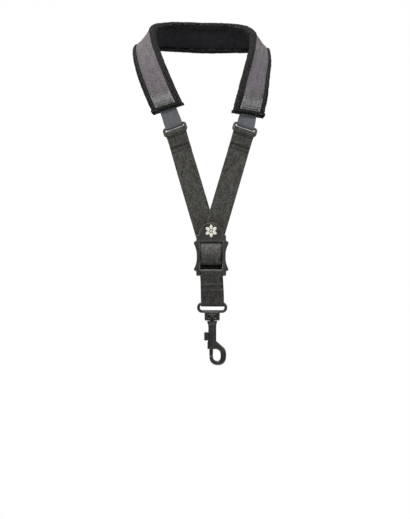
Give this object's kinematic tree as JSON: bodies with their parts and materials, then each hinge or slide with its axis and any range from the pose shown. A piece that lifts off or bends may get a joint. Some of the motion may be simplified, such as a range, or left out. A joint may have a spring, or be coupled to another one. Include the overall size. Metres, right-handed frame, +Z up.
{
  "type": "saxophone neck strap",
  "caption": "Padded neck band with two webbing legs joined by rings, a slider that sets the height, and a swivelling snap hook for an instrument.",
  "frame": {"origin": "Middle of the pad's lining at the nape, where the strap rests on the back of the neck.", "axes": "+Z up along the hanging strap, -Y towards the wearer's front, +X to the right of someone who faces the wearer."},
  "size_m": [0.1644, 0.1832, 0.4102],
  "materials": {
    "lining": "black brushed knit that lies against the neck",
    "foam": "soft black foam, closed in by the cover and the tapes",
    "cover": "black plush cover, seen as a line beside the band",
    "band_webbing": "soft grey mottled webbing, matt",
    "edge_tape": "black fuzzy binding tape, sewn over the pad's edges",
    "tab_webbing": "smooth slate-grey ribbon with a faint sheen",
    "leg_webbing": "dark grey-brown polyester webbing with fine ribs along it",
    "ring_plastic": "black moulded plastic, satin",
    "slider_plastic": "black moulded plastic, satin, with softly rounded edges",
    "hook_plastic": "dark grey acetal, satin",
    "badge": "cream inlay, slightly glossy",
    "spring_steel": "fine spring wire"
  },
  "bodies": {
    "pad": {"pad_lining": "lining", "pad_foam": "foam", "pad_cover": "cover", "pad_band": "band_webbing", "pad_binding_neck": "edge_tape", "pad_binding_shoulder": "edge_tape", "pad_end_tape_left": "edge_tape", "pad_end_tape_right": "edge_tape", "pad_patch_left": "band_webbing", "pad_patch_right": "band_webbing", "tab_left": "tab_webbing", "tab_right": "tab_webbing"},
    "left_ring": {"ring_left": "ring_plastic"},
    "right_ring": {"ring_right": "ring_plastic"},
    "v_strap": {"leg_left": "leg_webbing", "leg_right": "leg_webbing"},
    "slider": {"slider_frame": "slider_plastic", "slider_badge": "badge", "strap_upper": "leg_webbing", "strap_end": "leg_webbing"},
    "fold": {"strap_fold": "leg_webbing"},
    "eye": {"swivel_eye": "hook_plastic"},
    "hook": {"hook_body": "hook_plastic", "bolt_spring": "spring_steel"},
    "bolt": {"bolt": "hook_plastic", "thumb_tab": "hook_plastic"}
  },
  "joints": [
    {"name": "left_ring_swing", "type": "hinge", "parent": "pad", "child": "left_ring", "pos_m": [-0.0331, -0.134, -0.12], "axis": [-1, 0, 0], "range_deg": [0, 45], "deforming": ["tab_left", "leg_left", "leg_right"]},
    {"name": "right_ring_swing", "type": "hinge", "parent": "pad", "child": "right_ring", "pos_m": [0.0485, -0.134, -0.12], "axis": [-1, 0, 0], "range_deg": [0, 45], "deforming": ["tab_right"]},
    {"name": "v_swing", "type": "hinge", "parent": "left_ring", "child": "v_strap", "pos_m": [-0.0309, -0.1356, -0.1278], "axis": [-1, 0, 0], "range_deg": [0, 35], "deforming": ["leg_left", "leg_right"]},
    {"name": "slider_travel", "type": "slide", "parent": "v_strap", "child": "slider", "axis": [0, 0, -1], "range_m": [0, 0.024], "deforming": ["strap_upper"]},
    {"name": "fold_travel", "type": "slide", "parent": "slider", "child": "fold", "axis": [0, 0, 1], "range_m": [0, 0.012], "deforming": ["strap_fold", "strap_end", "strap_upper"]},
    {"name": "eye_tilt", "type": "hinge", "parent": "fold", "child": "eye", "pos_m": [0.0101, -0.1625, -0.3214], "axis": [-1, 0, 0], "range_deg": [-60, 60], "deforming": ["strap_fold"]},
    {"name": "hook_swivel", "type": "hinge", "parent": "eye", "child": "hook", "pos_m": [0.0101, -0.1625, -0.34], "axis": [0, 0, 1], "continuous": true},
    {"name": "bolt_travel", "type": "slide", "parent": "hook", "child": "bolt", "axis": [0, 0, 1], "range_m": [0, 0.009], "stiffness_N_per_m": 150, "springref_m": -0.001, "deforming": ["bolt_spring"]}
  ],
  "couplings": [
    {"joint": "right_ring_swing", "follows": "left_ring_swing", "ratio": 1},
    {"joint": "fold_travel", "follows": "slider_travel", "ratio": 0.5}
  ]
}
